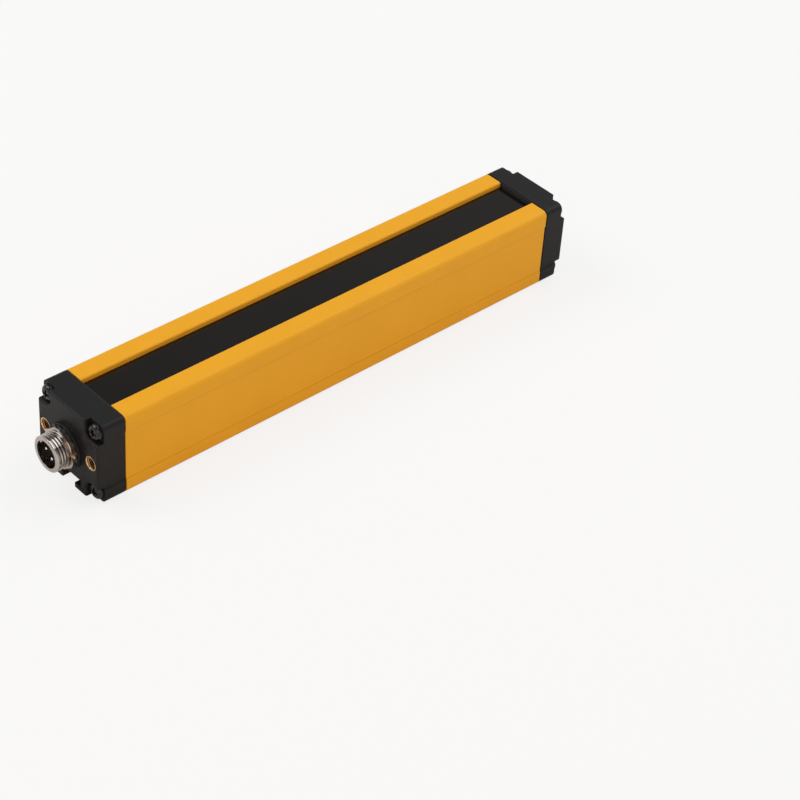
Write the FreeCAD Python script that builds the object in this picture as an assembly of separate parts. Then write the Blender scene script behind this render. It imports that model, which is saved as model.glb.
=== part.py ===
import FreeCAD, Part
import math
import os

from FreeCAD import Vector

# Safety light curtain bar, lying on its back.
# X runs across the bar, Y along it with the connector at the -Y end, and Z from the
# T-slot face (z = 0) up to the window side. Lengths are in millimetres.
# "Reach" is a distance along the bar outward from one end of the housing profile;
# a negative reach lies inside the housing. An end is held as three values: the place of
# the profile's end, the outward direction (-1 or 1), and the reach of the cap's pocket floor.

# Beams: they set the length of the housing
beam_count = 8
beam_pitch = 20.0
beam_end_margin = 17.5

# Housing profile: one aluminium extrusion
housing_width = 30.0
housing_depth = 29.5
housing_corner_radius = 1.8
housing_wall = 1.8
label_recess_depth = 0.25
label_recess_low = 5.4
label_recess_high = 23.8

# T-slot along the back
slot_neck_width = 6.0
slot_lip = 1.8
slot_wide_width = 12.0
slot_depth = 4.4
slot_wall = 1.4
slot_edge_round = 0.4

# Window channel along the front, and what lies in it
window_mouth_width = 14.8
window_lip = 1.8
window_lip_round = 0.7
window_ledge = 1.0
window_thickness = 2.0
window_side_clearance = 0.15
window_face_clearance = 0.03
window_end_clearance = 0.1
window_edge_round = 0.3
seal_thickness = 0.5
seal_width = 1.5

# Rails for the circuit board inside the housing
rail_reach = 1.1
rail_thickness = 0.9
rail_clearance = 0.05
board_underside = 10.0
board_thickness = 1.6
board_side_clearance = 0.15
board_end_gap = 6.0

# End caps, gaskets and their screws
gasket_thickness = 0.5
gasket_inset = 0.3
near_cap_body = 7.5
far_cap_body = 6.7
pad_height = 2.5
pad_edge_round = 0.6
pocket_size = 6.3
pocket_corner_round = 2.4
cap_core_radius = 7.7
cap_front_wall = 3.0
lug_length = 3.0
lug_inner_x = 8.6
lug_clearance = 0.15
lug_insert_gap = 0.6
screw_inset = 3.35
screw_radius = 1.5
screw_length = 14.0
screw_tip_chamfer = 0.4
screw_head_radius = 2.75
screw_head_height = 1.8
screw_head_round = 1.3
screw_hole_clearance = 0.2
thread_clearance = 0.05
port_mouth_width = 1.2
port_wall = 1.0
cross_length = 3.2
cross_width = 0.9
cross_depth = 1.3
cross_taper = 0.45

# Threaded brass inserts in the cap faces
insert_spacing = 22.6
insert_radius = 2.5
insert_bore_radius = 1.65
insert_length = 6.0
insert_countersink = 0.35
insert_hole_clearance = 0.02

# Connector on the near cap
connector_reach = 7.9
connector_thread_radius = 6.0
connector_neck_radius = 5.6
connector_nose_gap = 0.3
connector_tip_chamfer = 0.4
connector_hole_clearance = 0.05
socket_bore_radius = 4.6
socket_depth = 5.5
key_angle = 139.0
key_width = 1.2
key_height = 0.7
key_setback = 0.5
flange_radius = 7.3
flange_thickness = 1.6
shell_tail = 3.5
shell_tail_radius = 5.7
shell_tail_bore_radius = 5.0
insulator_shoulder = 0.8
insulator_proud = 0.8
insulator_clearance = 0.03
ring_thickness = 1.0
ring_clearance = 0.1
pin_count = 4
pin_circle_radius = 2.5
pin_radius = 0.5
pin_tip_round = 0.35
pin_tip_setback = 1.6
pin_hole_clearance = 0.02
cup_radius = 0.8
cup_length = 2.5
boss_radius = 7.5
boss_height = 1.5
boss_edge_round = 0.4
washer_thickness = 0.5
washer_clearance = 0.02
washer_band = 1.7
washer_tooth_depth = 0.5
washer_tooth_count = 16
nut_across_flats = 13.2
nut_thickness = 1.4
nut_corner_radius = 7.1
nut_chamfer_radius = 6.75
nut_angle = 39.0

# Optics: one infrared element and one lens for each beam, in a common carrier
emitter_radius = 1.5
emitter_rim_radius = 1.9
emitter_rim_height = 1.0
emitter_height = 5.3
lens_radius = 5.0
lens_rim_thickness = 0.95
lens_dome_radius = 4.3
lens_dome_height = 1.1
lens_seat_depth = 1.0
lens_seat_clearance = 0.05
carrier_plate = 1.6
carrier_skirt = 1.2
carrier_clearance = 0.15
carrier_start = 13.4
carrier_end = 3.6
carrier_seat_gap = 0.05
tube_outer_radius = 5.6
tube_bore_radius = 4.2
tube_clear_height = 1.8

# Board parts. Under the board: (width, length, height, distance along the board)
control_chip_size = (10.0, 10.0, 1.4)
control_chip_place = 40.0
control_chip_legs = 8
driver_chip_size = (3.9, 9.9, 1.5)
driver_chip_place = 75.0
driver_chip_legs = 7
leg_length = 1.0
leg_thickness = 0.2
leg_pitch = 1.0
leg_width = 0.4
regulator_size = (6.5, 6.1, 2.3)
regulator_place = 18.0
regulator_tab_length = 1.2
regulator_tab_thickness = 0.5
capacitor_size = (4.3, 7.3, 2.9)
capacitor_place = 105.0
capacitor_terminal_width = 2.4
board_part_edge = 0.25
lamp_rail_gap = 0.7
lamp_place = 3.0

# Board socket and the four lead wires from the connector
board_socket_width = 12.5
board_socket_length = 5.0
board_socket_height = 5.5
board_socket_place = 0.8
socket_wall = 0.9
socket_key_depth = 1.6
lead_pitch = 2.5
lead_height = 2.6
lead_radius = 0.5
lead_straight = 0.9

# Worked out from the driving dimensions
housing_length = (beam_count - 1) * beam_pitch + 2 * beam_end_margin
near_floor = gasket_thickness + near_cap_body
far_floor = gasket_thickness + far_cap_body
near_face = near_floor + pad_height
far_face = far_floor + pad_height
connector_rim = near_face + connector_reach
near_joint = connector_rim - (connector_rim + housing_length + far_face) / 2
far_joint = near_joint + housing_length
near_end = (near_joint, -1, near_floor)
far_end = (far_joint, 1, far_floor)

housing_inside = housing_width / 2 - housing_wall
cavity_floor = slot_depth + slot_wall
groove_top = housing_depth - window_lip
window_top = groove_top - window_face_clearance
window_underside = window_top - window_thickness
seal_top = window_underside - window_face_clearance
ledge_top = seal_top - seal_thickness
ledge_underside = ledge_top - window_ledge
board_top = board_underside + board_thickness
rail_top = board_top + rail_clearance + rail_thickness
board_start = near_joint + board_end_gap
board_finish = far_joint - board_end_gap

screw_x = housing_width / 2 - screw_inset
screw_low = screw_inset
screw_high = housing_depth - screw_inset
port_radius = screw_radius + thread_clearance
port_inner = screw_x - port_radius - port_wall
screw_hole_radius = screw_radius + screw_hole_clearance
window_half = port_inner - window_side_clearance

rail_edge = housing_inside - rail_reach
lamp_x = rail_edge - lamp_rail_gap - emitter_rim_radius
carrier_top = ledge_underside - carrier_clearance
lens_seat = carrier_top - lens_seat_depth

connector_height = housing_depth / 2
insert_height = connector_height

boss_face = near_face + boss_height
connector_seat = boss_face - cap_front_wall
flange_front = connector_seat - ring_thickness
flange_back = flange_front - flange_thickness
shell_back = flange_back - shell_tail
insulator_face = connector_rim - socket_depth
insulator_step = flange_front - insulator_shoulder
insulator_back = shell_back - insulator_proud
cup_end = insulator_back - cup_length
nut_back = boss_face + washer_thickness
nut_front = nut_back + nut_thickness
nose_start = nut_front + connector_nose_gap
neck_hole_radius = connector_neck_radius + connector_hole_clearance
neck_ring_radius = connector_neck_radius + ring_clearance

along = Vector(0, 1, 0)
upward = Vector(0, 0, 1)


def rounded_wire(corners):
    """Closed wire through (point, radius) corners, with an arc at each one that has a radius."""
    turns = []
    for index, (point, radius) in enumerate(corners):
        back = (corners[index - 1][0] - point).normalize()
        onward = (corners[(index + 1) % len(corners)][0] - point).normalize()
        half_angle = back.getAngle(onward) / 2
        setback = radius / math.tan(half_angle)
        inward = (back + onward).normalize() if radius else back
        nearest = point + inward * (radius / math.sin(half_angle) - radius)
        turns.append((point + back * setback, nearest, point + onward * setback, radius))
    edges = []
    for index, (entry, nearest, leave, radius) in enumerate(turns):
        if radius:
            edges.append(Part.Arc(entry, nearest, leave).toShape())
        next_entry = turns[(index + 1) % len(turns)][0]
        if leave.distanceToPoint(next_entry) > 1e-6:
            edges.append(Part.LineSegment(leave, next_entry).toShape())
    return Part.Wire(edges)


def prism(outline, y_from, y_to):
    """Solid with one cross-section of (x, z, corner radius) points, between two places along Y."""
    corners = [(Vector(x, y_from, z), radius) for x, z, radius in outline]
    return Part.Face(rounded_wire(corners)).extrude(Vector(0, y_to - y_from, 0))


def rectangle(x_low, x_high, z_low, z_high, radius=0.0):
    corners = ((x_low, z_low), (x_high, z_low), (x_high, z_high), (x_low, z_high))
    return [(x, z, radius) for x, z in corners]


def block(x_low, x_high, y_low, y_high, z_low, z_high):
    return Part.makeBox(x_high - x_low, y_high - y_low, z_high - z_low, Vector(x_low, y_low, z_low))


def turned(base, axis, profile):
    """Solid turned about an axis; the profile holds (distance along it, radius, corner radius)."""
    corners = []
    for distance, radius, rounding in profile:
        corners.append((base + axis * distance + Vector(radius, 0, 0), rounding))
    return Part.Face(rounded_wire(corners)).revolve(base, axis, 360)


def both_sides(right_half):
    """Whole outline from its right half, which starts and ends beside the middle plane."""
    return right_half + [(-x, z, radius) for x, z, radius in reversed(right_half)]


def end_base(end, x, z):
    joint, outward, _ = end
    return Vector(x, joint, z), along * outward


def end_prism(end, outline, reach_from, reach_to):
    joint, outward, _ = end
    return prism(outline, joint + outward * reach_from, joint + outward * reach_to)


def end_rod(end, x, z, radius, reach_from, reach_to):
    base, axis = end_base(end, x, z)
    return Part.makeCylinder(radius, reach_to - reach_from, base + axis * reach_from, axis)


def screw_places():
    """The four screw axes of one end, as (x, z)."""
    return [(side * screw_x, height) for height in (screw_low, screw_high) for side in (-1, 1)]


def outer_half(inset=0.0):
    """Right half of the bar's outer contour, from the T-slot's roof round to the top corner."""
    side = housing_width / 2 - inset
    recessed = side - label_recess_depth
    corner = housing_corner_radius - inset
    return [
        (slot_wide_width / 2 + inset, slot_depth + inset, 0),
        (slot_wide_width / 2 + inset, slot_lip - inset, 0),
        (slot_neck_width / 2 + inset, slot_lip - inset, 0),
        (slot_neck_width / 2 + inset, inset, slot_edge_round),
        (side, inset, corner),
        (side, label_recess_low, 0),
        (recessed, label_recess_low, 0),
        (recessed, label_recess_high, 0),
        (side, label_recess_high, 0),
        (side, housing_depth - inset, corner),
    ]


def housing_profile():
    """Extrusion: T-slot, window channel, board rails, and a self-tapping screw port in each corner."""
    mouth = window_mouth_width / 2
    rail_slot_low = board_underside - rail_clearance
    rail_slot_high = board_top + rail_clearance
    window_channel = [
        (mouth, housing_depth, window_lip_round),
        (mouth, groove_top, 0),
        (port_inner, groove_top, 0),
        (port_inner, ledge_top, 0),
        (mouth, ledge_top, 0),
        (mouth, ledge_underside, 0),
    ]
    cavity = [
        (housing_inside, ledge_underside, 0),
        (housing_inside, rail_top, 0),
        (rail_edge, rail_top, 0),
        (rail_edge, rail_slot_high, 0),
        (housing_inside, rail_slot_high, 0),
        (housing_inside, rail_slot_low, 0),
        (rail_edge, rail_slot_low, 0),
        (rail_edge, rail_slot_low - rail_thickness, 0),
        (housing_inside, rail_slot_low - rail_thickness, 0),
        (housing_inside, cavity_floor, 0),
        (port_inner, cavity_floor, 0),
        (port_inner, housing_wall, 0),
        (slot_wide_width / 2 + slot_wall, housing_wall, 0),
        (slot_wide_width / 2 + slot_wall, cavity_floor, 0),
    ]
    body = prism(both_sides(outer_half() + window_channel + cavity), near_joint, far_joint)
    half_mouth = port_mouth_width / 2
    for x, z in screw_places():
        body = body.cut(Part.makeCylinder(port_radius, housing_length, Vector(x, near_joint, z), along))
        if z == screw_high:
            mouth_block = block(x - half_mouth, x + half_mouth, near_joint, far_joint, ledge_underside, z)
        else:
            x_low, x_high = sorted((x, math.copysign(port_inner, x)))
            mouth_block = block(x_low, x_high, near_joint, far_joint, z - half_mouth, z + half_mouth)
        body = body.cut(mouth_block)
    return body


def front_window():
    """Strip that slides into the channel from one end and lies right under the lips."""
    outline = rectangle(-window_half, window_half, window_underside, window_top, window_edge_round)
    return prism(outline, near_joint + window_end_clearance, far_joint - window_end_clearance)


def window_seal(side):
    """Rubber strip on the channel's ledge, under one edge of the window."""
    x_low, x_high = sorted((side * window_half, side * (window_half - seal_width)))
    y_low = near_joint + window_end_clearance
    return block(x_low, x_high, y_low, far_joint - window_end_clearance, ledge_top, seal_top)


def gasket(end):
    """Flat rubber frame between the housing's end and its cap."""
    frame = end_prism(end, both_sides(outer_half(gasket_inset)), 0, gasket_thickness)
    opening = rectangle(-housing_inside, housing_inside, cavity_floor, ledge_underside)
    frame = frame.cut(end_prism(end, opening, -gasket_thickness, 2 * gasket_thickness))
    for x, z in screw_places():
        frame = frame.cut(end_rod(end, x, z, screw_hole_radius, -gasket_thickness, 2 * gasket_thickness))
    return frame


def cap_blank(end):
    """Moulded cap with its cross-shaped pad, corner pockets, locating lugs and screw holes."""
    joint, outward, floor = end
    face = floor + pad_height
    cap = end_prism(end, both_sides(outer_half()), gasket_thickness, face)
    half_width = housing_width / 2
    past_corner = housing_corner_radius + pocket_corner_round
    for side in (-1, 1):
        x_low, x_high = sorted((side * (half_width - pocket_size), side * (half_width + past_corner)))
        for z_low, z_high in ((-past_corner, pocket_size),
                              (housing_depth - pocket_size, housing_depth + past_corner)):
            pocket = rectangle(x_low, x_high, z_low, z_high, pocket_corner_round)
            cap = cap.cut(end_prism(end, pocket, floor, face))
    pad_plane = joint + outward * face
    past_slot = slot_wide_width / 2 + slot_wall
    pad_edges = [
        edge for edge in cap.Edges
        if all(abs(vertex.Y - pad_plane) < 1e-4 for vertex in edge.Vertexes)
        and edge.BoundBox.ZMax > slot_lip
        and (edge.CenterOfMass.z > cavity_floor or abs(edge.CenterOfMass.x) > past_slot)
    ]
    cap = cap.makeFillet(pad_edge_round, pad_edges)
    insert_hole = insert_radius + insert_hole_clearance
    lug_heights = ((cavity_floor + lug_clearance, insert_height - insert_hole - lug_insert_gap),
                   (insert_height + insert_hole + lug_insert_gap, ledge_underside - lug_clearance))
    for side in (-1, 1):
        x_low, x_high = sorted((side * lug_inner_x, side * (rail_edge - lug_clearance)))
        for z_low, z_high in lug_heights:
            lug = rectangle(x_low, x_high, z_low, z_high)
            cap = cap.fuse(end_prism(end, lug, -lug_length, gasket_thickness))
    for x, z in screw_places():
        cap = cap.cut(end_rod(end, x, z, screw_hole_radius, 0, face))
    for side in (-1, 1):
        place = side * insert_spacing / 2
        cap = cap.cut(end_rod(end, place, insert_height, insert_hole, 0, face))
    return cap


def near_end_cap():
    """Cap with the connector's hole through a round boss, cored out behind it."""
    base, axis = end_base(near_end, 0, connector_height)
    boss = turned(base, axis, [
        (near_floor, 0, 0),
        (boss_face, 0, 0),
        (boss_face, boss_radius, boss_edge_round),
        (near_floor, boss_radius, 0),
    ])
    cap = cap_blank(near_end).fuse(boss)
    cap = cap.cut(end_rod(near_end, 0, connector_height, cap_core_radius, -lug_length, connector_seat))
    hole = end_rod(near_end, 0, connector_height, neck_hole_radius, 0, boss_face)
    return cap.cut(hole).removeSplitter()


def far_end_cap():
    """The same moulding with its face left whole, cored out from inside."""
    core_end = far_face - cap_front_wall
    cap = cap_blank(far_end)
    return cap.cut(end_rod(far_end, 0, connector_height, cap_core_radius, 0, core_end)).removeSplitter()


def cap_screw(end, x, z):
    """Pan-head screw with a cross recess; it forms its own thread in the housing's port."""
    base, axis = end_base(end, x, z)
    floor = end[2]
    head_top = floor + screw_head_height
    tip = floor - screw_length
    screw = turned(base, axis, [
        (tip, 0, 0),
        (tip, screw_radius - screw_tip_chamfer, 0),
        (tip + screw_tip_chamfer, screw_radius, 0),
        (floor, screw_radius, 0),
        (floor, screw_head_radius, 0),
        (head_top, screw_head_radius, screw_head_round),
        (head_top, 0, 0),
    ])
    levels = ((head_top + cross_depth, 1 + cross_taper), (head_top - cross_depth, 1 - cross_taper))
    wires = []
    for reach, scale in levels:
        long_half = scale * cross_length / 2
        short_half = scale * cross_width / 2
        corners = [(long_half, short_half), (short_half, short_half), (short_half, long_half)]
        ring = []
        for quarter in range(4):
            turn = math.radians(90 * quarter)
            for a, b in corners:
                u = a * math.cos(turn) - b * math.sin(turn)
                v = a * math.sin(turn) + b * math.cos(turn)
                ring.append(base + axis * reach + Vector(u, 0, v))
        wires.append(Part.makePolygon(ring + ring[:1]))
    return screw.cut(Part.makeLoft(wires, True, True))


def threaded_insert(end, side):
    """Knurled brass bush pressed into the cap, flush with its pad."""
    base, axis = end_base(end, side * insert_spacing / 2, insert_height)
    face = end[2] + pad_height
    back = face - insert_length
    return turned(base, axis, [
        (back, insert_bore_radius, 0),
        (back, insert_radius, 0),
        (face, insert_radius, 0),
        (face, insert_bore_radius + insert_countersink, 0),
        (face - insert_countersink, insert_bore_radius, 0),
    ])


def connector_shell():
    """Turned metal shell: threaded nose, flange behind the cap's wall, key rib in the socket."""
    base, axis = end_base(near_end, 0, connector_height)
    shell = turned(base, axis, [
        (shell_back, shell_tail_bore_radius, 0),
        (shell_back, shell_tail_radius, 0),
        (flange_back, shell_tail_radius, 0),
        (flange_back, flange_radius, 0),
        (flange_front, flange_radius, 0),
        (flange_front, connector_neck_radius, 0),
        (nose_start, connector_neck_radius, 0),
        (nose_start, connector_thread_radius, 0),
        (connector_rim - connector_tip_chamfer, connector_thread_radius, 0),
        (connector_rim, connector_thread_radius - connector_tip_chamfer, 0),
        (connector_rim, socket_bore_radius, 0),
        (insulator_step, socket_bore_radius, 0),
        (insulator_step, shell_tail_bore_radius, 0),
    ])
    rim_y = near_joint - connector_rim + key_setback
    face_y = near_joint - insulator_face
    root = socket_bore_radius + key_height / 2
    key = block(socket_bore_radius - key_height, root, rim_y, face_y, -key_width / 2, key_width / 2)
    key.rotate(Vector(0, 0, 0), along, -key_angle)
    key.translate(Vector(0, 0, connector_height))
    return shell.fuse(key)


def pin_places():
    """The pins' axes as (x, z): evenly round the socket, with the key midway between two of them."""
    places = []
    for index in range(pin_count):
        turn = math.radians(key_angle + (index + 0.5) * 360 / pin_count)
        x = pin_circle_radius * math.cos(turn)
        places.append((x, connector_height + pin_circle_radius * math.sin(turn)))
    return places


def connector_insulator():
    """Black moulded core that carries the pins, held in the shell by its shoulder."""
    base, axis = end_base(near_end, 0, connector_height)
    front_radius = socket_bore_radius - insulator_clearance
    back_radius = shell_tail_bore_radius - insulator_clearance
    core = turned(base, axis, [
        (insulator_back, 0, 0),
        (insulator_back, back_radius, 0),
        (insulator_step - insulator_clearance, back_radius, 0),
        (insulator_step - insulator_clearance, front_radius, 0),
        (insulator_face, front_radius, 0),
        (insulator_face, 0, 0),
    ])
    for x, z in pin_places():
        hole = pin_radius + pin_hole_clearance
        core = core.cut(end_rod(near_end, x, z, hole, insulator_back, insulator_face))
    return core


def connector_pin(x, z):
    """Contact pin with a rounded tip and a solder cup at its back."""
    base, axis = end_base(near_end, x, z)
    tip = connector_rim - pin_tip_setback
    return turned(base, axis, [
        (cup_end, 0, 0),
        (cup_end, cup_radius, 0),
        (insulator_back, cup_radius, 0),
        (insulator_back, pin_radius, 0),
        (tip, pin_radius, pin_tip_round),
        (tip, 0, 0),
    ])


def ring_between(inner_radius, outer_radius, reach_from, reach_to):
    disc = end_rod(near_end, 0, connector_height, outer_radius, reach_from, reach_to)
    return disc.cut(end_rod(near_end, 0, connector_height, inner_radius, reach_from, reach_to))


def connector_sealing_ring():
    """Rubber ring between the connector's flange and the cap's wall."""
    return ring_between(neck_ring_radius, flange_radius, flange_front, connector_seat)


def connector_lock_washer():
    """Spring washer with external teeth, between the boss and the nut."""
    corners = []
    washer_radius = connector_neck_radius + washer_band
    root_radius = washer_radius - washer_tooth_depth
    quarter_pitch = math.pi / (2 * washer_tooth_count)
    for index in range(washer_tooth_count):
        for step, radius in enumerate((root_radius, root_radius, washer_radius, washer_radius)):
            turn = (4 * index + step) * quarter_pitch
            corners.append((radius * math.cos(turn), connector_height + radius * math.sin(turn), 0))
    disc = end_prism(near_end, corners, boss_face + washer_clearance, nut_back - washer_clearance)
    return disc.cut(end_rod(near_end, 0, connector_height, neck_ring_radius, boss_face, nut_back))


def connector_nut():
    """Thin hexagon nut that clamps the connector to the cap: corners turned off, front chamfered."""
    sharp_radius = nut_across_flats / 2 / math.cos(math.pi / 6)
    corners = []
    for index in range(6):
        turn = math.radians(nut_angle + 60 * index)
        corners.append((sharp_radius * math.cos(turn), connector_height + sharp_radius * math.sin(turn), 0))
    nut = end_prism(near_end, corners, nut_back, nut_front)
    base, axis = end_base(near_end, 0, connector_height)
    fall = (nut_corner_radius - nut_chamfer_radius) * math.tan(math.radians(30))
    envelope = turned(base, axis, [
        (nut_back, 0, 0),
        (nut_back, nut_corner_radius, 0),
        (nut_front - fall, nut_corner_radius, 0),
        (nut_front, nut_chamfer_radius, 0),
        (nut_front, 0, 0),
    ])
    hole = end_rod(near_end, 0, connector_height, neck_hole_radius, nut_back, nut_front)
    return nut.common(envelope).cut(hole)


def circuit_board():
    """Board that slides along the housing's rails."""
    half = housing_inside - board_side_clearance
    return block(-half, half, board_start, board_finish, board_underside, board_top)


def beam_places():
    return [near_joint + beam_end_margin + index * beam_pitch for index in range(beam_count)]


def domed_lamp(x, y):
    """Round light-emitting diode with a rim at its foot and a domed head."""
    return turned(Vector(x, y, board_top), upward, [
        (0, 0, 0),
        (0, emitter_rim_radius, 0),
        (emitter_rim_height, emitter_rim_radius, 0),
        (emitter_rim_height, emitter_radius, 0),
        (emitter_height, emitter_radius, emitter_radius * 0.9),
        (emitter_height, 0, 0),
    ])


def beam_lens(y):
    """Flat-backed lens with a rim that lies in the carrier's seat."""
    rim_top = lens_seat + lens_rim_thickness
    dome_top = rim_top + lens_dome_height
    centre = Vector(0, y, 0)
    dome_side = centre + Vector(lens_dome_radius, 0, rim_top)
    ball_radius = (lens_dome_radius ** 2 + lens_dome_height ** 2) / (2 * lens_dome_height)
    half_turn = math.asin(lens_dome_radius / ball_radius) / 2
    ball_centre = dome_top - ball_radius
    arc_middle = centre + Vector(ball_radius * math.sin(half_turn), 0,
                                 ball_centre + ball_radius * math.cos(half_turn))
    corners = [Vector(0, 0, lens_seat), Vector(lens_radius, 0, lens_seat), Vector(lens_radius, 0, rim_top)]
    path = [centre + corner for corner in corners] + [dome_side]
    edges = [Part.LineSegment(start, stop).toShape() for start, stop in zip(path, path[1:])]
    top = centre + Vector(0, 0, dome_top)
    edges.append(Part.Arc(dome_side, arc_middle, top).toShape())
    edges.append(Part.LineSegment(top, path[0]).toShape())
    return Part.Face(Part.Wire(edges)).revolve(centre, upward, 360)


def lens_carrier():
    """Black moulding on the rails: a plate with lens seats, side skirts, a light tube for each beam."""
    y_low = near_joint + carrier_start
    y_high = far_joint - carrier_end
    half = housing_inside - carrier_clearance
    foot = rail_top + carrier_seat_gap
    plate_underside = lens_seat - carrier_plate
    carrier = block(-half, half, y_low, y_high, plate_underside, carrier_top)
    for side in (-1, 1):
        x_low, x_high = sorted((side * half, side * (half - carrier_skirt)))
        carrier = carrier.fuse(block(x_low, x_high, y_low, y_high, foot, plate_underside))
    tube_foot = board_top + tube_clear_height
    tube_length = plate_underside - tube_foot
    tubes = []
    for y in beam_places():
        foot_centre = Vector(0, y, tube_foot)
        tubes.append(Part.makeCylinder(tube_outer_radius, tube_length, foot_centre, upward))
    carrier = carrier.fuse(tubes)
    for y in beam_places():
        bore = Part.makeCylinder(tube_bore_radius, carrier_top - tube_foot, Vector(0, y, tube_foot), upward)
        seat_radius = lens_radius + lens_seat_clearance
        seat = Part.makeCylinder(seat_radius, lens_seat_depth, Vector(0, y, lens_seat), upward)
        carrier = carrier.cut([bore, seat])
    return carrier.removeSplitter()


def chip(size, place, leg_count, four_sided):
    """Moulded chip under the board with legs along two or four sides."""
    width, length, height = size
    y = board_start + place
    outline = rectangle(-width / 2, width / 2, board_underside - height, board_underside, board_part_edge)
    body = prism(outline, y - length / 2, y + length / 2)
    legs = []
    for index in range(leg_count):
        shift = (index - (leg_count - 1) / 2) * leg_pitch
        reach = width / 2 + leg_length
        z_low = board_underside - leg_thickness
        half_leg = leg_width / 2
        y_low = y + shift - half_leg
        legs.append(block(-reach, reach, y_low, y_low + leg_width, z_low, board_underside))
        if four_sided:
            reach = length / 2 + leg_length
            x_low = shift - half_leg
            legs.append(block(x_low, x_low + leg_width, y - reach, y + reach, z_low, board_underside))
    return body.fuse(legs).removeSplitter()


def voltage_regulator():
    """Power regulator under the board with its cooling tab and two legs."""
    width, length, height = regulator_size
    half = width / 2
    y_low = board_start + regulator_place - length / 2
    y_high = y_low + length
    body = block(-half, half, y_low, y_high, board_underside - height, board_underside)
    tab_half = half - board_part_edge
    tab_low = board_underside - regulator_tab_thickness
    tab = block(-tab_half, tab_half, y_high, y_high + regulator_tab_length, tab_low, board_underside)
    legs = []
    for side in (-1, 1):
        x = side * width / 3
        leg_start = y_low - 2 * leg_length
        legs.append(block(x - leg_width, x + leg_width, leg_start, y_low, tab_low, board_underside))
    return body.fuse([tab] + legs).removeSplitter()


def storage_capacitor():
    """Moulded capacitor under the board with a folded terminal at each end."""
    width, length, height = capacitor_size
    y = board_start + capacitor_place
    low = board_underside - height
    body = block(-width / 2, width / 2, y - length / 2, y + length / 2, low, board_underside)
    half = capacitor_terminal_width / 2
    reach = length / 2 + leg_thickness
    terminals = block(-half, half, y - reach, y + reach, low + height / 2, board_underside)
    return body.fuse(terminals).removeSplitter()


def lead_ends():
    """Where each lead starts at a solder cup and where it enters the board socket."""
    socket_y = board_start + board_socket_place
    entries = [Vector((index - (pin_count - 1) / 2) * lead_pitch, socket_y, board_top + lead_height)
               for index in range(pin_count)]
    cups = [Vector(x, near_joint - cup_end, z) for x, z in sorted(pin_places())]
    return list(zip(cups, entries))


def board_socket():
    """Four-way header on the board, open at the top for its latch, with the leads in its front."""
    y_low = board_start + board_socket_place
    y_high = y_low + board_socket_length
    half = board_socket_width / 2
    top = board_top + board_socket_height
    body = block(-half, half, y_low, y_high, board_top, top)
    pocket = block(-half + socket_wall, half - socket_wall, y_low + lead_straight + socket_wall,
                   y_high - socket_wall, top - socket_key_depth, top)
    return body.cut(pocket)


def lead_wire(start, finish):
    """Insulated lead: straight out of its cup, over in two easy bends, straight into the socket."""
    points = [start, start + along * lead_straight, finish - along * lead_straight, finish]
    slope = (points[2] - points[1]).getAngle(along)
    bend_radius = 0.9 * lead_straight / math.tan(slope / 2)
    setback = bend_radius * math.tan(slope / 2)
    direction = (points[2] - points[1]).normalize()
    edges = []
    last = start
    for corner, before, after in ((points[1], along, direction), (points[2], direction, along)):
        entry = corner - before * setback
        leave = corner + after * setback
        inward = (after - before).normalize()
        middle = corner + inward * (bend_radius / math.cos(slope / 2) - bend_radius)
        edges.append(Part.LineSegment(last, entry).toShape())
        edges.append(Part.Arc(entry, middle, leave).toShape())
        last = leave
    edges.append(Part.LineSegment(last, finish).toShape())
    section = Part.Wire([Part.makeCircle(lead_radius, start, along)])
    return Part.Wire(edges).makePipeShell([section], True, False)


def save(shape, name):
    solids = shape.Solids
    assert shape.isValid() and len(solids) == 1 and solids[0].Volume > 0, name
    solids[0].exportStep(f"parts/{name}.step")


os.makedirs("parts", exist_ok=True)

save(housing_profile(), "housing_profile")
save(front_window(), "front_window")
save(window_seal(-1), "window_seal_left")
save(window_seal(1), "window_seal_right")
save(near_end_cap(), "near_end_cap")
save(far_end_cap(), "far_end_cap")
for end_name, bar_end in (("near", near_end), ("far", far_end)):
    save(gasket(bar_end), f"{end_name}_gasket")
    for number, (x, z) in enumerate(screw_places(), 1):
        save(cap_screw(bar_end, x, z), f"{end_name}_cap_screw_{number}")
    save(threaded_insert(bar_end, -1), f"{end_name}_insert_left")
    save(threaded_insert(bar_end, 1), f"{end_name}_insert_right")

save(connector_shell(), "connector_shell")
save(connector_insulator(), "connector_insulator")
save(connector_sealing_ring(), "connector_sealing_ring")
save(connector_lock_washer(), "connector_lock_washer")
save(connector_nut(), "connector_nut")
for number, (x, z) in enumerate(pin_places(), 1):
    save(connector_pin(x, z), f"connector_pin_{number}")

save(circuit_board(), "circuit_board")
save(lens_carrier(), "lens_carrier")
for number, y in enumerate(beam_places(), 1):
    save(domed_lamp(0, y), f"infrared_emitter_{number}")
    save(beam_lens(y), f"beam_lens_{number}")
save(chip(control_chip_size, control_chip_place, control_chip_legs, True), "control_chip")
save(chip(driver_chip_size, driver_chip_place, driver_chip_legs, False), "driver_chip")
save(voltage_regulator(), "voltage_regulator")
save(storage_capacitor(), "storage_capacitor")
save(domed_lamp(-lamp_x, board_start + lamp_place), "status_lamp_red")
save(domed_lamp(lamp_x, board_start + lamp_place), "status_lamp_green")
save(board_socket(), "board_socket")
for number, (cup, entry) in enumerate(lead_ends(), 1):
    save(lead_wire(cup, entry), f"lead_wire_{number}")
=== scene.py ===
import math

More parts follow.
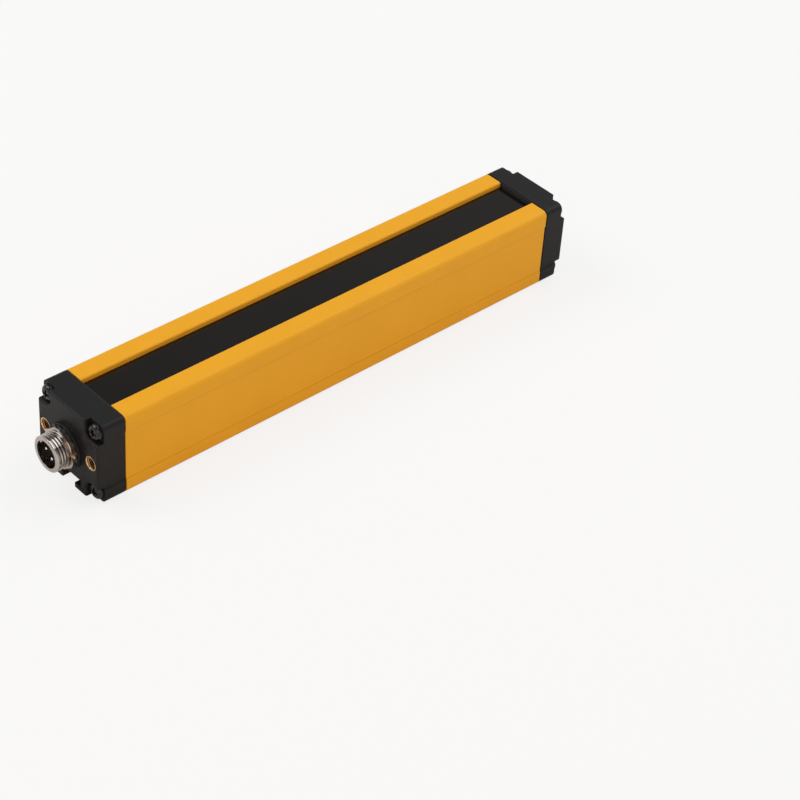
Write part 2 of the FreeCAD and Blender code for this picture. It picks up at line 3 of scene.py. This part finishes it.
import bpy
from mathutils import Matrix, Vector


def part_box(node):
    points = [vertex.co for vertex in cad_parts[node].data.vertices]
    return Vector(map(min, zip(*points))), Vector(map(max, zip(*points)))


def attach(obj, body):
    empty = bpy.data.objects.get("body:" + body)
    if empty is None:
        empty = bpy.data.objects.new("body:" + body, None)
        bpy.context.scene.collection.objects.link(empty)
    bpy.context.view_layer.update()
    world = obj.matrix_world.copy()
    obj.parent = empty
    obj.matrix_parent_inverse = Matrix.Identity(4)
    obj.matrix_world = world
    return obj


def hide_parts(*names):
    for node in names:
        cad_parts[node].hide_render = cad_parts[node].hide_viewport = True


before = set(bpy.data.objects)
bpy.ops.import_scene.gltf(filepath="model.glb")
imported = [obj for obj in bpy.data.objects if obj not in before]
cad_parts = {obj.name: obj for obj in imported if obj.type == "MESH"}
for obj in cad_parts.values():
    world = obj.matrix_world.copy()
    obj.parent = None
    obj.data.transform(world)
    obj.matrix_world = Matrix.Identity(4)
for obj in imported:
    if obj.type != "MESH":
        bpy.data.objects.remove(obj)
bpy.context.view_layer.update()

# ---------------------------------------------------------------------------
# Housing profile. One aluminium extrusion, 30 mm wide, sawn to length and
# powder coated in signal yellow: a thin, even coat with a faint orange peel.

MM = 0.001


def coat(name, colour, spread, roughness, grain, depth, edge=0.0, metallic=0.0, specular=0.5):
    """Finish for a moulded, coated or plated surface, with a colour drift, a gloss drift and a grain.

    colour is linear; spread is how far the colour drifts; roughness is its (low, high) range;
    grain is the grain's size, depth its height and edge the softening of sharp edges, in millimetres.
    """
    material = bpy.data.materials.new(name)
    material.use_nodes = True
    nodes, links = material.node_tree.nodes, material.node_tree.links
    shader = nodes["Principled BSDF"]
    place = nodes.new("ShaderNodeTexCoord")
    cloud = nodes.new("ShaderNodeTexNoise")
    cloud.inputs["Scale"].default_value = 55
    cloud.inputs["Detail"].default_value = 3
    links.new(place.outputs["Object"], cloud.inputs["Vector"])
    tint = nodes.new("ShaderNodeValToRGB")
    tint.color_ramp.elements[0].position = 0.3
    tint.color_ramp.elements[1].position = 0.7
    tint.color_ramp.elements[0].color = (*[c * (1 - spread) for c in colour], 1)
    tint.color_ramp.elements[1].color = (*[min(c * (1 + spread), 1) for c in colour], 1)
    links.new(cloud.outputs["Fac"], tint.inputs["Fac"])
    links.new(tint.outputs["Color"], shader.inputs["Base Color"])
    peel = nodes.new("ShaderNodeTexNoise")
    peel.inputs["Scale"].default_value = 1000 / grain
    peel.inputs["Detail"].default_value = 4
    peel.inputs["Roughness"].default_value = 0.55
    links.new(place.outputs["Object"], peel.inputs["Vector"])
    gloss = nodes.new("ShaderNodeMapRange")
    gloss.inputs["From Min"].default_value = 0.35
    gloss.inputs["From Max"].default_value = 0.65
    gloss.inputs["To Min"].default_value = roughness[0]
    gloss.inputs["To Max"].default_value = roughness[1]
    links.new(peel.outputs["Fac"], gloss.inputs["Value"])
    links.new(gloss.outputs["Result"], shader.inputs["Roughness"])
    bump = nodes.new("ShaderNodeBump")
    bump.inputs["Distance"].default_value = depth * MM
    bump.inputs["Strength"].default_value = 1
    links.new(peel.outputs["Fac"], bump.inputs["Height"])
    if edge:
        softened = nodes.new("ShaderNodeBevel")
        softened.samples = 6
        softened.inputs["Radius"].default_value = edge * MM
        links.new(softened.outputs["Normal"], bump.inputs["Normal"])
    links.new(bump.outputs["Normal"], shader.inputs["Normal"])
    shader.inputs["Metallic"].default_value = metallic
    shader.inputs["Specular IOR Level"].default_value = specular
    return material


def dress(material, *names):
    """Gives pieces a finish; a name that ends in _ stands for its numbered or sided group."""
    groups = tuple(name for name in names if name.endswith("_"))
    for node_name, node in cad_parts.items():
        if node_name in names or node_name.startswith(groups):
            node.data.materials.clear()
            node.data.materials.append(material)


powder = coat("yellow_powder_coat", (0.87, 0.41, 0.021), 0.02, (0.34, 0.44), 0.55, 0.005,
              edge=0.15, specular=0.14)
dress(powder, "housing_profile")

# ---------------------------------------------------------------------------
# Front window and its seals. The window is a strip of polished black acrylic
# that lets only infrared through; it slides in from one end and lies on two
# thin rubber strips.

acrylic = coat("black_infrared_acrylic", (0.007, 0.0055, 0.005), 0.1, (0.06, 0.1), 2.0, 0.0006,
               edge=0.15, specular=0.45)
acrylic.node_tree.nodes["Principled BSDF"].inputs["IOR"].default_value = 1.49
dress(acrylic, "front_window")
rubber = coat("matt_black_rubber", (0.012, 0.012, 0.012), 0.12, (0.7, 0.85), 0.25, 0.01)
dress(rubber, "window_seal_", "near_gasket", "far_gasket", "connector_sealing_ring")

# ---------------------------------------------------------------------------
# Circuit board and its parts. Green-masked glass epoxy with moulded chips, a
# moulded capacitor, tinted lamps and a moulded socket; the leads from the
# connector are insulated in grey vinyl.

mask = coat("green_solder_mask", (0.012, 0.11, 0.04), 0.12, (0.3, 0.42), 1.2, 0.01, edge=0.1)
dress(mask, "circuit_board")
chip_case = coat("black_chip_moulding", (0.018, 0.018, 0.019), 0.1, (0.5, 0.62), 0.2, 0.006, edge=0.1)
dress(chip_case, "control_chip", "driver_chip", "voltage_regulator")
tantalum = coat("ochre_capacitor_moulding", (0.55, 0.3, 0.05), 0.06, (0.42, 0.52), 0.3, 0.006, edge=0.1)
dress(tantalum, "storage_capacitor")
socket = coat("black_header_moulding", (0.02, 0.02, 0.02), 0.1, (0.45, 0.55), 0.3, 0.006, edge=0.1)
dress(socket, "board_socket")
vinyl = coat("grey_lead_vinyl", (0.2, 0.2, 0.21), 0.06, (0.35, 0.45), 0.5, 0.005)
dress(vinyl, "lead_wire_")
red_resin = coat("red_lamp_resin", (0.55, 0.02, 0.015), 0.06, (0.12, 0.2), 1.0, 0.003)
green_resin = coat("green_lamp_resin", (0.02, 0.42, 0.06), 0.06, (0.12, 0.2), 1.0, 0.003)
dress(red_resin, "status_lamp_red")
dress(green_resin, "status_lamp_green")

# ---------------------------------------------------------------------------
# Lens carrier, infrared elements and beam lenses. The carrier is a black
# moulding with one light tube for each beam; the elements are smoky epoxy and
# the lenses clear polycarbonate.

carrier = coat("black_carrier_moulding", (0.015, 0.015, 0.015), 0.1, (0.55, 0.68), 0.3, 0.008, edge=0.15)
dress(carrier, "lens_carrier")
smoke = coat("smoky_element_resin", (0.045, 0.03, 0.07), 0.1, (0.1, 0.18), 1.0, 0.003)
dress(smoke, "infrared_emitter_")
clear = coat("clear_lens_resin", (0.9, 0.92, 0.94), 0.02, (0.04, 0.08), 2.0, 0.001)
clear.node_tree.nodes["Principled BSDF"].inputs["Transmission Weight"].default_value = 0.9
clear.node_tree.nodes["Principled BSDF"].inputs["IOR"].default_value = 1.58
dress(clear, "beam_lens_")

# ---------------------------------------------------------------------------
# End caps. Each is one moulding of black glass-filled nylon with a fine
# eroded grain, drawn up to the housing by four screws.

nylon = coat("black_cap_nylon", (0.011, 0.0106, 0.0116), 0.07, (0.4, 0.54), 0.28, 0.011,
             edge=0.35, specular=0.22)
dress(nylon, "near_end_cap", "far_end_cap")

# ---------------------------------------------------------------------------
# Cap screws. Pan-head thread-forming steel screws with a cross recess,
# blackened, four at each end in the corner pockets.

black_steel = coat("blackened_screw_steel", (0.008, 0.008, 0.009), 0.15, (0.16, 0.26), 0.35, 0.005,
                   edge=0.15)
dress(black_steel, "near_cap_screw_", "far_cap_screw_")

# ---------------------------------------------------------------------------
# Threaded inserts. Turned brass bushes pressed into the cap faces, each with
# an M4 thread cut in its bore and a small countersink at the mouth.

INSERT_RADIUS = 2.5 * MM
BORE_ROOT = 2.02 * MM
BORE_CREST = 1.66 * MM
BORE_PITCH = 0.7 * MM
BORE_MARGIN = 0.35 * MM
COUNTERSINK = 0.6 * BORE_MARGIN
TOUCHING = 1e-9


def start_ring(name, centre, radius, sides=72):
    """A plain ring of edges about an axis along Y, open in edit mode and ready to be drawn out."""
    bpy.ops.object.select_all(action="DESELECT")
    bpy.ops.mesh.primitive_circle_add(vertices=sides, radius=radius, location=centre,
                                      rotation=(math.pi / 2, 0, 0))
    piece = bpy.context.active_object
    piece.name = name
    bpy.ops.object.transform_apply(location=False, rotation=True, scale=False)
    bpy.ops.object.mode_set(mode="EDIT")
    bpy.ops.mesh.select_all(action="SELECT")
    return piece


def draw_out(piece, radius, steps):
    """Extrudes the selected ring through (distance along Y, radius) steps, as on a lathe."""
    place = 0.0
    for distance, next_radius in steps:
        bpy.ops.mesh.extrude_region_move(TRANSFORM_OT_translate={"value": (0, distance - place, 0)})
        scale = next_radius / radius
        middle = piece.location + Vector((0, distance, 0))
        bpy.ops.transform.resize(value=(scale, 1, scale), center_override=middle)
        place, radius = distance, next_radius


def close_up(piece):
    """Joins the last ring to the first, turns every face outwards and leaves edit mode."""
    bpy.ops.mesh.select_all(action="SELECT")
    bpy.ops.mesh.remove_doubles(threshold=1e-6)
    bpy.ops.mesh.normals_make_consistent(inside=False)
    bpy.ops.object.mode_set(mode="OBJECT")
    bpy.ops.object.shade_smooth_by_angle(angle=math.radians(35))


def helix(name, centre, root, crest, pitch, turns, flat=0.14, run_out=0.12):
    """One closed ridge of thread wound about an axis along Y, from its root radius to its flat crest."""
    bpy.ops.object.select_all(action="DESELECT")
    bpy.ops.mesh.primitive_circle_add(vertices=4, radius=pitch * 0.5, fill_type="NGON", location=centre)
    ridge = bpy.context.active_object
    ridge.name = name
    toward = 1 if crest > root else -1
    sunk = root - toward * pitch * run_out
    tip = flat * pitch / 2
    corners = [(sunk, -0.5 * pitch), (sunk, 0.5 * pitch), (crest, tip), (crest, -tip)]
    for vertex, (radius, shift) in zip(ridge.data.vertices, corners):
        vertex.co = (radius, shift, 0)
    wind = ridge.modifiers.new("wind", "SCREW")
    wind.axis = "Y"
    wind.screw_offset = pitch
    wind.iterations = turns
    wind.steps = 64
    wind.render_steps = 64
    bpy.ops.object.modifier_apply(modifier=wind.name)
    bpy.ops.object.mode_set(mode="EDIT")
    bpy.ops.mesh.select_all(action="SELECT")
    bpy.ops.mesh.remove_doubles(threshold=1e-7)
    bpy.ops.mesh.select_all(action="DESELECT")
    bpy.ops.mesh.select_mode(type="EDGE")
    bpy.ops.mesh.select_non_manifold(extend=False)
    bpy.ops.mesh.edge_face_add()
    bpy.ops.mesh.select_all(action="SELECT")
    bpy.ops.mesh.normals_make_consistent(inside=False)
    bpy.ops.mesh.select_mode(type="VERT")
    bpy.ops.object.mode_set(mode="OBJECT")
    return ridge


def settle(piece, *others):
    """Joins what makes up one piece and puts its origin at the frame's origin."""
    bpy.ops.object.select_all(action="DESELECT")
    for part in (piece, *others):
        part.select_set(True)
    bpy.context.view_layer.objects.active = piece
    if others:
        bpy.ops.object.join()
    bpy.ops.object.transform_apply(location=True, rotation=True, scale=True)
    return piece


brass = coat("turned_brass", (0.83, 0.6, 0.3), 0.06, (0.16, 0.28), 0.6, 0.004, edge=0.12, metallic=1.0)
# Painted shade: the bore and its thread take a darker brass, for the shade inside the bore.
bore_shaded_brass = coat("bore_shaded_brass", (0.4, 0.2, 0.085), 0.1, (0.25, 0.4), 0.4, 0.004, metallic=1.0)
for end, outward in (("near", -1), ("far", 1)):
    for side in ("left", "right"):
        insert = f"{end}_insert_{side}"
        low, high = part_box(insert)
        axis = (low + high) / 2
        face = low.y if outward < 0 else high.y
        length = high.y - low.y
        mouth = Vector((axis.x, face, axis.z))
        bush = start_ring(f"{end}_insert_bush_{side}", mouth, INSERT_RADIUS)
        draw_out(bush, INSERT_RADIUS, [
            (0.0, BORE_ROOT + COUNTERSINK),
            (-outward * COUNTERSINK, BORE_ROOT),
            (-outward * length, BORE_ROOT),
            (-outward * length, INSERT_RADIUS),
            (-outward * TOUCHING, INSERT_RADIUS),
        ])
        close_up(bush)
        turns = int((length - 2 * BORE_MARGIN) / BORE_PITCH)
        start = Vector((axis.x, low.y + 2 * COUNTERSINK, axis.z))
        ridge = helix("insert_thread", start, BORE_ROOT, BORE_CREST, BORE_PITCH, turns)
        settle(bush, ridge)
        bush.data.materials.clear()
        bush.data.materials.append(brass)
        bush.data.materials.append(bore_shaded_brass)
        # The faces of the bore and its thread take the darker brass of the painted shade.
        for facet in bush.data.polygons:
            from_axis = facet.center - mouth
            from_axis.y = 0
            if from_axis.length < BORE_ROOT * 1.01:
                facet.material_index = 1
        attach(bush, "root")
        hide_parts(insert)

# ---------------------------------------------------------------------------
# Connector shell. Brass turned on a lathe and bright nickel plated: an M12
# thread of 1 mm pitch runs from the nut to a polished rim, and a key rib
# stands in the socket.

SHELL_ROOT = 5.5 * MM
SHELL_CREST = 5.99 * MM
SHELL_RIM = 6.0 * MM
SHELL_PITCH = 1.0 * MM
SOCKET_BORE = 4.6 * MM
TAIL_BORE = 5.0 * MM
TAIL_RADIUS = 5.7 * MM
FLANGE_RADIUS = 7.3 * MM
FLANGE_THICKNESS = 1.6 * MM
SHOULDER = 0.8 * MM
RIM_LENGTH = 0.55 * MM
RIM_CHAMFER = 0.25 * MM
THREAD_START = RIM_LENGTH + 0.25 * MM
THREAD_OVERRUN = 0.4 * MM
KEY_ANGLE = math.radians(139)
KEY_WIDTH = 1.2 * MM
KEY_HEIGHT = 1.0 * MM
KEY_SETBACK = 0.5 * MM
KEY_SUNK = 0.2 * MM
KEY_EDGE = 0.15 * MM

low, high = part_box("connector_shell")
axis = (low + high) / 2
insulator_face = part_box("connector_insulator")[0].y
nut_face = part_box("connector_nut")[0].y
ring_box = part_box("connector_sealing_ring")
flange_front = ring_box[1].y
rim = low.y
tail_end = high.y
flange_back = flange_front + FLANGE_THICKNESS
step = flange_front + SHOULDER

shell = start_ring("connector_shell_turned", Vector((axis.x, rim, axis.z)), SOCKET_BORE, sides=96)
draw_out(shell, SOCKET_BORE, [
    (0.0, SHELL_RIM - RIM_CHAMFER),
    (RIM_CHAMFER, SHELL_RIM),
    (RIM_LENGTH, SHELL_RIM),
    (THREAD_START, SHELL_ROOT),
    (flange_front - rim, SHELL_ROOT),
    (flange_front - rim, FLANGE_RADIUS),
    (flange_back - rim, FLANGE_RADIUS),
    (flange_back - rim, TAIL_RADIUS),
    (tail_end - rim, TAIL_RADIUS),
    (tail_end - rim, TAIL_BORE),
    (step - rim, TAIL_BORE),
    (step - rim, SOCKET_BORE),
    (TOUCHING, SOCKET_BORE),
])
close_up(shell)
turns = int((nut_face - rim + THREAD_OVERRUN) / SHELL_PITCH)
start = Vector((axis.x, rim + THREAD_START, axis.z))
thread = helix("shell_thread", start, SHELL_ROOT, SHELL_CREST, SHELL_PITCH, turns, flat=0.36)
bpy.ops.object.select_all(action="DESELECT")
bpy.ops.mesh.primitive_cube_add(size=1, location=(0, 0, 0))
key = bpy.context.active_object
key.name = "shell_key"
key_end = insulator_face - rim
key.scale = (KEY_HEIGHT, key_end - KEY_SETBACK, KEY_WIDTH)
key.location = (SOCKET_BORE - KEY_SUNK, 0, 0)
bpy.ops.object.transform_apply(location=True, rotation=True, scale=True)
bpy.ops.object.mode_set(mode="EDIT")
bpy.ops.mesh.select_all(action="SELECT")
bpy.ops.mesh.bevel(offset=KEY_EDGE, segments=2, affect="EDGES")
bpy.ops.object.mode_set(mode="OBJECT")
key.rotation_euler = (0, -KEY_ANGLE, 0)
key.location = (axis.x, rim + (KEY_SETBACK + key_end) / 2, axis.z)
settle(shell, thread, key)
nickel = coat("bright_nickel_plate", (0.6, 0.545, 0.515), 0.05, (0.1, 0.18), 0.8, 0.003,
              edge=0.08, metallic=1.0)
root_shaded_nickel = coat("threaded_nickel_painted_root_shade", (0.62, 0.565, 0.53), 0.06, (0.14, 0.24), 0.6, 0.003,
                   metallic=1.0)
# Painted shade: the plate's colour is darkened towards the roots of the thread, where shade falls, and
# left at full brightness on its crests.
nodes, links = root_shaded_nickel.node_tree.nodes, root_shaded_nickel.node_tree.links
place = nodes.new("ShaderNodeTexCoord")
centred = nodes.new("ShaderNodeMapping")
centred.inputs["Location"].default_value = (-axis.x, 0, -axis.z)
links.new(place.outputs["Object"], centred.inputs["Vector"])
across = nodes.new("ShaderNodeVectorMath")
across.operation = "MULTIPLY"
across.inputs[1].default_value = (1, 0, 1)
links.new(centred.outputs["Vector"], across.inputs[0])
radius = nodes.new("ShaderNodeVectorMath")
radius.operation = "LENGTH"
links.new(across.outputs["Vector"], radius.inputs[0])
root_shade_fade = nodes.new("ShaderNodeMapRange")
root_shade_fade.inputs["From Min"].default_value = SHELL_ROOT
root_shade_fade.inputs["From Max"].default_value = SHELL_ROOT + 0.75 * (SHELL_CREST - SHELL_ROOT)
root_shade_fade.inputs["To Min"].default_value = 0.4
root_shade_fade.inputs["To Max"].default_value = 1
links.new(radius.outputs["Value"], root_shade_fade.inputs["Value"])
painted_root_shade = nodes.new("ShaderNodeMix")
painted_root_shade.data_type = "RGBA"
painted_root_shade.inputs["A"].default_value = (0.18, 0.15, 0.13, 1)
shader = nodes["Principled BSDF"]
plated = shader.inputs["Base Color"].links[0].from_socket
links.new(root_shade_fade.outputs["Result"], painted_root_shade.inputs["Factor"])
links.new(plated, painted_root_shade.inputs["B"])
links.new(painted_root_shade.outputs["Result"], shader.inputs["Base Color"])
shell.data.materials.clear()
shell.data.materials.append(nickel)
shell.data.materials.append(root_shaded_nickel)
for facet in shell.data.polygons:
    from_axis = facet.center - axis
    on_thread = rim + RIM_LENGTH < facet.center.y < flange_front
    from_axis.y = 0
    if on_thread and from_axis.length > SHELL_ROOT - 0.1 * MM:
        facet.material_index = 1
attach(shell, "root")
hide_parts("connector_shell")

# ---------------------------------------------------------------------------
# Socket core and pins. A black moulded core carries four turned and plated
# contact pins with rounded tips.

core = coat("black_core_moulding", (0.012, 0.012, 0.012), 0.12, (0.45, 0.6), 0.3, 0.006, edge=0.08)
dress(core, "connector_insulator")
contact = coat("bright_contact_plate", (0.88, 0.85, 0.8), 0.03, (0.08, 0.16), 0.5, 0.002, metallic=1.0)
dress(contact, "connector_pin_")

# ---------------------------------------------------------------------------
# Lock washer and nut. A toothed washer of spring steel lies on the cap's boss
# under a thin nickel-plated hexagon nut.

# Painted shade: the washer's steel is made near black, for the shade it lies in under the nut.
spring_steel = coat("washer_steel_painted_shade", (0.1, 0.098, 0.1), 0.1, (0.34, 0.44), 0.4, 0.005,
                    edge=0.1, metallic=1.0)
dress(spring_steel, "connector_lock_washer")
dress(nickel, "connector_nut")

# ---------------------------------------------------------------------------
# Stand for the picture: a pale floor that keeps the bar's soft shadow, large soft
# lights behind, to the left and in front on the right, and a surround that fades
# from a pale horizon to a darker sky, so that level faces keep their colour.

BACKLIGHT_SHARE = 0.8
FLOOR_SIZE = 12

floor_material = bpy.data.materials.new("pale_floor")
floor_material.use_nodes = True
nodes, links = floor_material.node_tree.nodes, floor_material.node_tree.links
shader = nodes["Principled BSDF"]
shader.inputs["Base Color"].default_value = (0.78, 0.77, 0.76, 1)
shader.inputs["Roughness"].default_value = 0.9
shader.inputs["Specular IOR Level"].default_value = 0.1
backlight = nodes.new("ShaderNodeEmission")
backlight.inputs["Color"].default_value = (1, 1, 1, 1)
backlight.inputs["Strength"].default_value = 1
ray = nodes.new("ShaderNodeLightPath")
seen = nodes.new("ShaderNodeMath")
seen.operation = "ADD"
seen.use_clamp = True
links.new(ray.outputs["Is Camera Ray"], seen.inputs[0])
links.new(ray.outputs["Is Transmission Ray"], seen.inputs[1])
share = nodes.new("ShaderNodeMath")
share.operation = "MULTIPLY"
share.inputs[1].default_value = BACKLIGHT_SHARE
links.new(seen.outputs["Value"], share.inputs[0])
blend = nodes.new("ShaderNodeMixShader")
links.new(share.outputs["Value"], blend.inputs["Fac"])
links.new(shader.outputs["BSDF"], blend.inputs[1])
links.new(backlight.outputs["Emission"], blend.inputs[2])
links.new(blend.outputs["Shader"], nodes["Material Output"].inputs["Surface"])
bpy.ops.object.select_all(action="DESELECT")
bpy.ops.mesh.primitive_plane_add(size=FLOOR_SIZE, location=(0, 0, 0))
floor = bpy.context.active_object
floor.name = "floor"
floor.data.materials.append(floor_material)

world = bpy.data.worlds.new("pale_surround")
world.use_nodes = True
nodes, links = world.node_tree.nodes, world.node_tree.links
nodes["Background"].inputs["Color"].default_value = (1, 0.97, 0.95, 1)
direction = nodes.new("ShaderNodeTexCoord")
height = nodes.new("ShaderNodeSeparateXYZ")
links.new(direction.outputs["Generated"], height.inputs["Vector"])
fade = nodes.new("ShaderNodeMapRange")
fade.inputs["From Min"].default_value = 0.02
fade.inputs["From Max"].default_value = 0.66
fade.inputs["To Min"].default_value = 0.8
fade.inputs["To Max"].default_value = 0.2
links.new(height.outputs["Z"], fade.inputs["Value"])
links.new(fade.outputs["Result"], nodes["Background"].inputs["Strength"])
bpy.context.scene.world = world


def soft_light(name, place, width, power, tint):
    """A square lamp that faces the middle of the bar; width in metres, power in watts."""
    lamp = bpy.data.lights.new(name, "AREA")
    lamp.shape = "SQUARE"
    lamp.size = width
    lamp.energy = power
    lamp.color = tint
    stand = bpy.data.objects.new(name, lamp)
    stand.location = place
    stand.rotation_euler = (-Vector(place)).to_track_quat("-Z", "Y").to_euler()
    bpy.context.collection.objects.link(stand)


soft_light("rear_light", (0.15, 0.75, 1.0), 1.2, 7.9, (0.96, 0.99, 1.0))
soft_light("left_light", (-0.7, -0.6, 1.1), 0.9, 8.8, (0.96, 0.99, 1.0))
soft_light("front_light", (0.9, -0.9, 0.75), 1.0, 4.8, (1.0, 0.7, 0.42))

eye = bpy.data.cameras.new("camera")
eye.lens = 108.32
eye.sensor_width = 36
eye.clip_start = 0.05
camera = bpy.data.objects.new("camera", eye)
camera.location = (456.655 * MM, -410.367 * MM, 481.411 * MM)
camera.rotation_euler = (math.radians(51.10634), math.radians(-3.44259), math.radians(47.88443))
bpy.context.collection.objects.link(camera)
bpy.context.scene.camera = camera
bpy.context.scene.view_settings.view_transform = "Standard"
